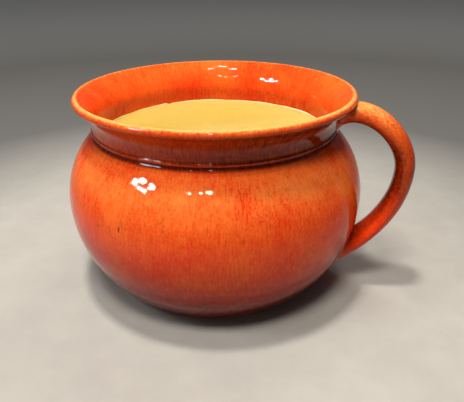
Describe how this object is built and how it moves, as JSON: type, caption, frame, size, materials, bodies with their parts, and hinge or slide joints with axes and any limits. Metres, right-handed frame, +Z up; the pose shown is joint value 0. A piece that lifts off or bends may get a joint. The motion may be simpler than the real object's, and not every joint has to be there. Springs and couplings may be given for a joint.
{
  "type": "chamber pot",
  "caption": "Squat round chamber pot of thrown earthenware with a flared rim and a loop handle at its side, glazed orange outside and yellow inside.",
  "frame": {"origin": "middle of the flat foot, on the surface that the pot stands on", "axes": "+Z up along the pot's axis, +X towards the handle, +Y to the left of the handle seen from the pot"},
  "size_m": [0.2494, 0.2152, 0.1431],
  "materials": {
    "bare_clay": "fired, unglazed",
    "orange_glaze": "high gloss, red-orange, breaking to yellow on edges",
    "yellow_glaze": "gloss, warm yellow"
  },
  "bodies": {
    "root": {"clay_body": "bare_clay", "handle": "bare_clay", "upper_luting": "bare_clay", "lower_luting": "bare_clay", "outer_glaze": "orange_glaze", "inner_glaze": "yellow_glaze", "handle_glaze": "orange_glaze"}
  },
  "joints": []
}
